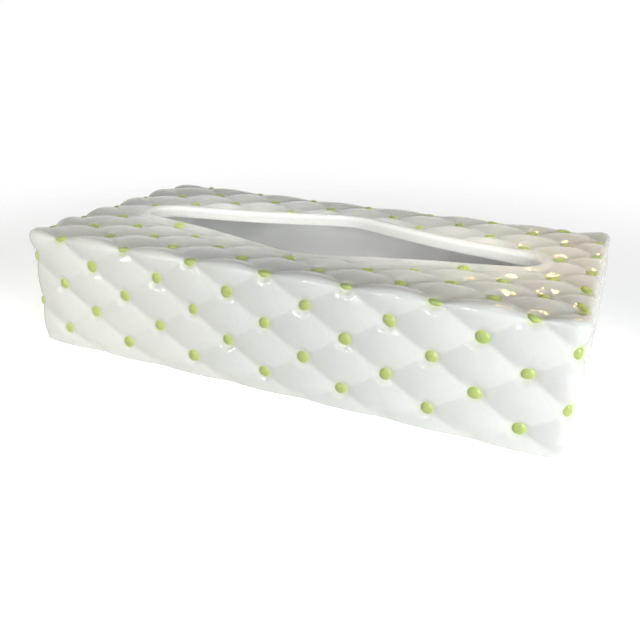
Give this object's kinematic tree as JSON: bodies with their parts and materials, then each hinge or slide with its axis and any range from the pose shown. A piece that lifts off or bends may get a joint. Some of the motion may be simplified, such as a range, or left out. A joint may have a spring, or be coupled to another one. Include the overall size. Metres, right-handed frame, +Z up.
{
  "type": "tissue box cover",
  "caption": "White glazed ceramic cover for a flat carton of tissues, open below, with a lens-shaped slot in the top, a quilted skin and raised green enamel dots in the tufts.",
  "frame": {"origin": "middle of the base, at the level the cover rests on", "axes": "+X along the length, +Y from the front wall to the back wall, +Z up; the front wall faces -Y"},
  "size_m": [0.2652, 0.139, 0.0591],
  "materials": {
    "glaze": "gloss white glaze",
    "enamel": "gloss yellow-green enamel"
  },
  "bodies": {
    "root": {"ceramic_shell": "glaze", "rim_dots": "enamel", "corner_dots": "enamel", "front_wall_dots": "enamel", "back_wall_dots": "enamel", "left_end_dots": "enamel", "right_end_dots": "enamel", "top_front_dots": "enamel", "top_back_dots": "enamel"}
  },
  "joints": []
}
